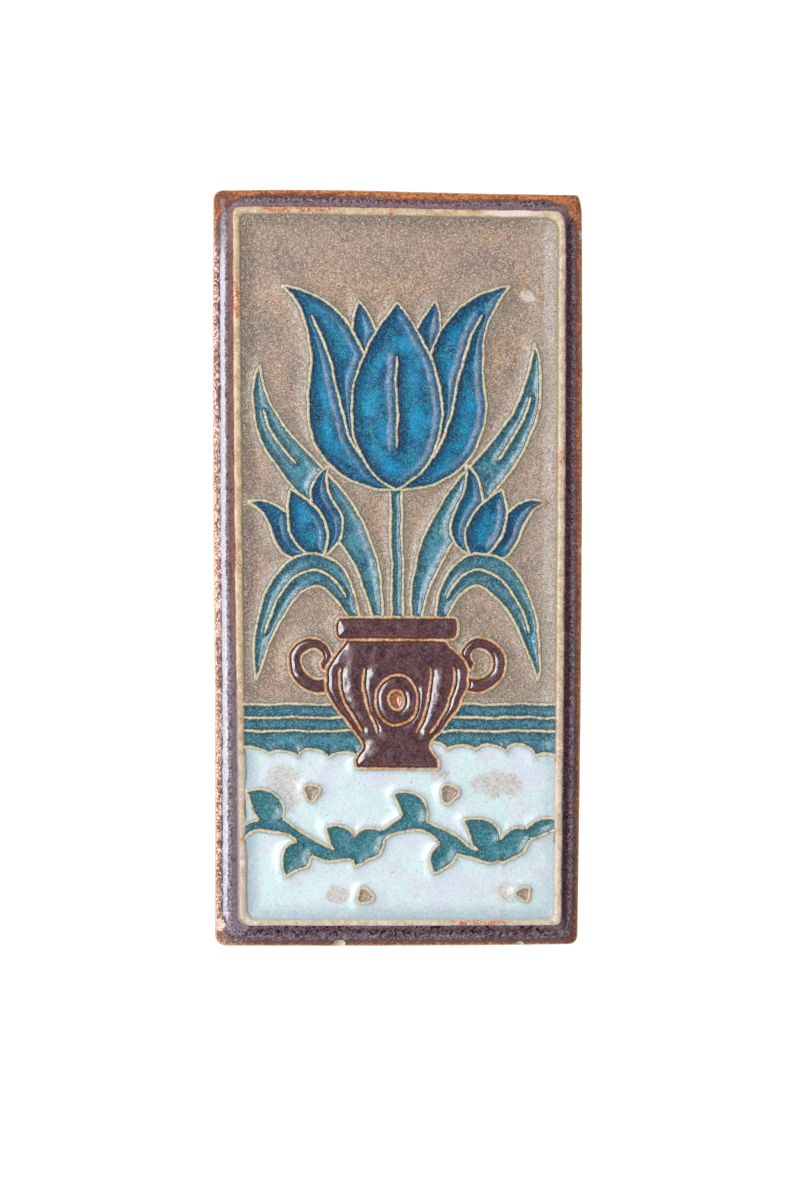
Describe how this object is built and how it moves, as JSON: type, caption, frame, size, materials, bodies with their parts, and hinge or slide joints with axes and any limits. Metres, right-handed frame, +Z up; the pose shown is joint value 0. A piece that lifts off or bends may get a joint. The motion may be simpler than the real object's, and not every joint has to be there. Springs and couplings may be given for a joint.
{
  "type": "delft tile",
  "caption": "Tall rectangular glazed wall tile with a rounded border, a raised frame line and raised clay lines that part coloured glazes into a picture of tulips in a pot, with a pocketed back.",
  "frame": {"origin": "the middle of the tile's back, where it is bedded on the wall", "axes": "+X to the right as seen from the front, +Y out of the back into the wall, +Z up the tile; the face looks along -Y"},
  "size_m": [0.1051, 0.016, 0.2148],
  "materials": {
    "border_glaze": "glossy",
    "bare_clay": "matt",
    "raised_line": "satin",
    "sky_glaze": "satin",
    "blue_glaze": "glossy",
    "teal_glaze": "glossy",
    "brown_glaze": "glossy",
    "rust_glaze": "glossy",
    "white_glaze": "glossy"
  },
  "bodies": {
    "root": {"tile": "border_glaze"}
  },
  "joints": []
}
